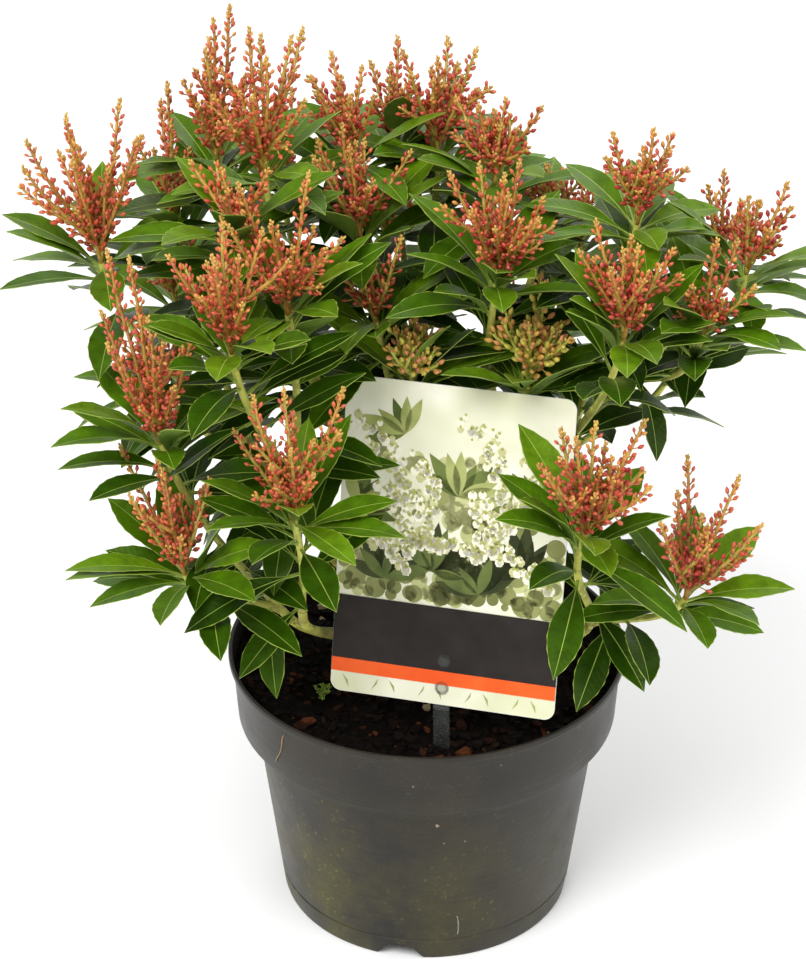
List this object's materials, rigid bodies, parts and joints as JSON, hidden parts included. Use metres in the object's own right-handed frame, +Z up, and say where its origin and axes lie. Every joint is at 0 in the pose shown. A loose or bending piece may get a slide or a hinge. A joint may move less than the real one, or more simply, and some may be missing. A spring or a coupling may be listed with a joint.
{
  "type": "potted pieris shrub",
  "caption": "Evergreen pieris shrub in bud, with whorled leaves and upright red flower spikes, growing in a round black nursery pot with a picture card on a stake.",
  "frame": {"origin": "centre of the flat underside of the pot, on the surface it stands on", "axes": "+Z up along the pot's axis; -Y the front, towards which the picture card faces; +X to the right seen from the front"},
  "size_m": [0.3698, 0.3484, 0.4414],
  "materials": {
    "pot": "dark grey injection-moulded plastic, satin, with a thin green bloom of algae low down",
    "soil": "moist potting mix of dark bark chips and peat",
    "card": "printed card, smooth with a slight sheen",
    "stake": "clear moulded plastic",
    "bark": "thin grey-brown bark, lightly fissured",
    "young_bark": "smooth olive-brown bark of young stems",
    "foliage": "glossy green leaves, with flower spikes of small red and orange buds on the same twigs"
  },
  "bodies": {
    "root": {"pot": "pot", "soil": "soil", "card": "card", "card_stake": "stake", "trunk": "bark", "bough_left_high": "young_bark", "bough_left_top": "young_bark", "bough_left_shoulder": "young_bark", "bough_left_low": "young_bark", "bough_front_left": "young_bark", "bough_top": "young_bark", "bough_centre": "young_bark", "bough_crest_right": "young_bark", "bough_right_top": "young_bark", "bough_right_high": "young_bark", "bough_front_right": "young_bark", "bough_back_left": "young_bark", "bough_back_top": "young_bark", "bough_back_right": "young_bark", "bough_right_back": "young_bark", "foliage_left_high": "foliage", "foliage_left_top": "foliage", "foliage_left_shoulder": "foliage", "foliage_left_low": "foliage", "foliage_front_left": "foliage", "foliage_top": "foliage", "foliage_centre": "foliage", "foliage_crest_right": "foliage", "foliage_right_top": "foliage", "foliage_right_high": "foliage", "foliage_front_right": "foliage", "foliage_back_left": "foliage", "foliage_back_top": "foliage", "foliage_back_right": "foliage", "foliage_right_back": "foliage"}
  },
  "joints": []
}
